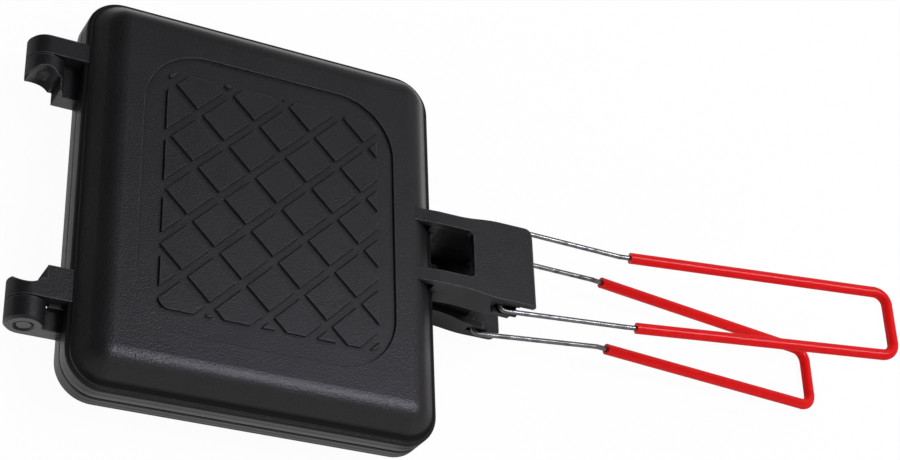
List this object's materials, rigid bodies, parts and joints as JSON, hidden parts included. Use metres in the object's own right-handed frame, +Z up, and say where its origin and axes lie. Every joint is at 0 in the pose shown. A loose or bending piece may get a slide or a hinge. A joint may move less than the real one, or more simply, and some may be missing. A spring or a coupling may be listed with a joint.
{
  "type": "pie iron",
  "caption": "Hinged double pie iron with diamond-patterned cast pans and folding wire loop handles in red grips.",
  "frame": {"origin": "centre of the lower pan's flat outer face", "axes": "+X from the hinge towards the handles, +Y across the pans along the hinge, +Z up from the lower pan to the upper pan"},
  "size_m": [0.3633, 0.1588, 0.062],
  "materials": {
    "coated_cast": "satin",
    "pin_metal": "satin",
    "bright_wire": "polished",
    "red_grip": "gloss"
  },
  "bodies": {
    "lower_pan_body": {"lower_pan": "coated_cast", "lower_hinge_pin": "pin_metal"},
    "upper_pan_body": {"upper_pan": "coated_cast", "upper_hinge_pin": "pin_metal"},
    "lower_handle": {"lower_handle_wire": "bright_wire", "lower_grip": "red_grip"},
    "upper_handle": {"upper_handle_wire": "bright_wire", "upper_grip": "red_grip"}
  },
  "joints": [
    {"name": "lid_hinge", "type": "hinge", "parent": "lower_pan_body", "child": "upper_pan_body", "pos_m": [-0.0835, 0, 0.0155], "axis": [0, -1, 0], "range_deg": [0, 180]},
    {"name": "upper_handle_fold", "type": "hinge", "parent": "upper_pan_body", "child": "upper_handle", "pos_m": [0.0969, 0, 0.0263], "axis": [0, -1, 0], "range_deg": [0, 165]},
    {"name": "lower_handle_fold", "type": "hinge", "parent": "lower_pan_body", "child": "lower_handle", "pos_m": [0.0969, 0, 0.0047], "axis": [0, 1, 0], "range_deg": [0, 170]}
  ]
}
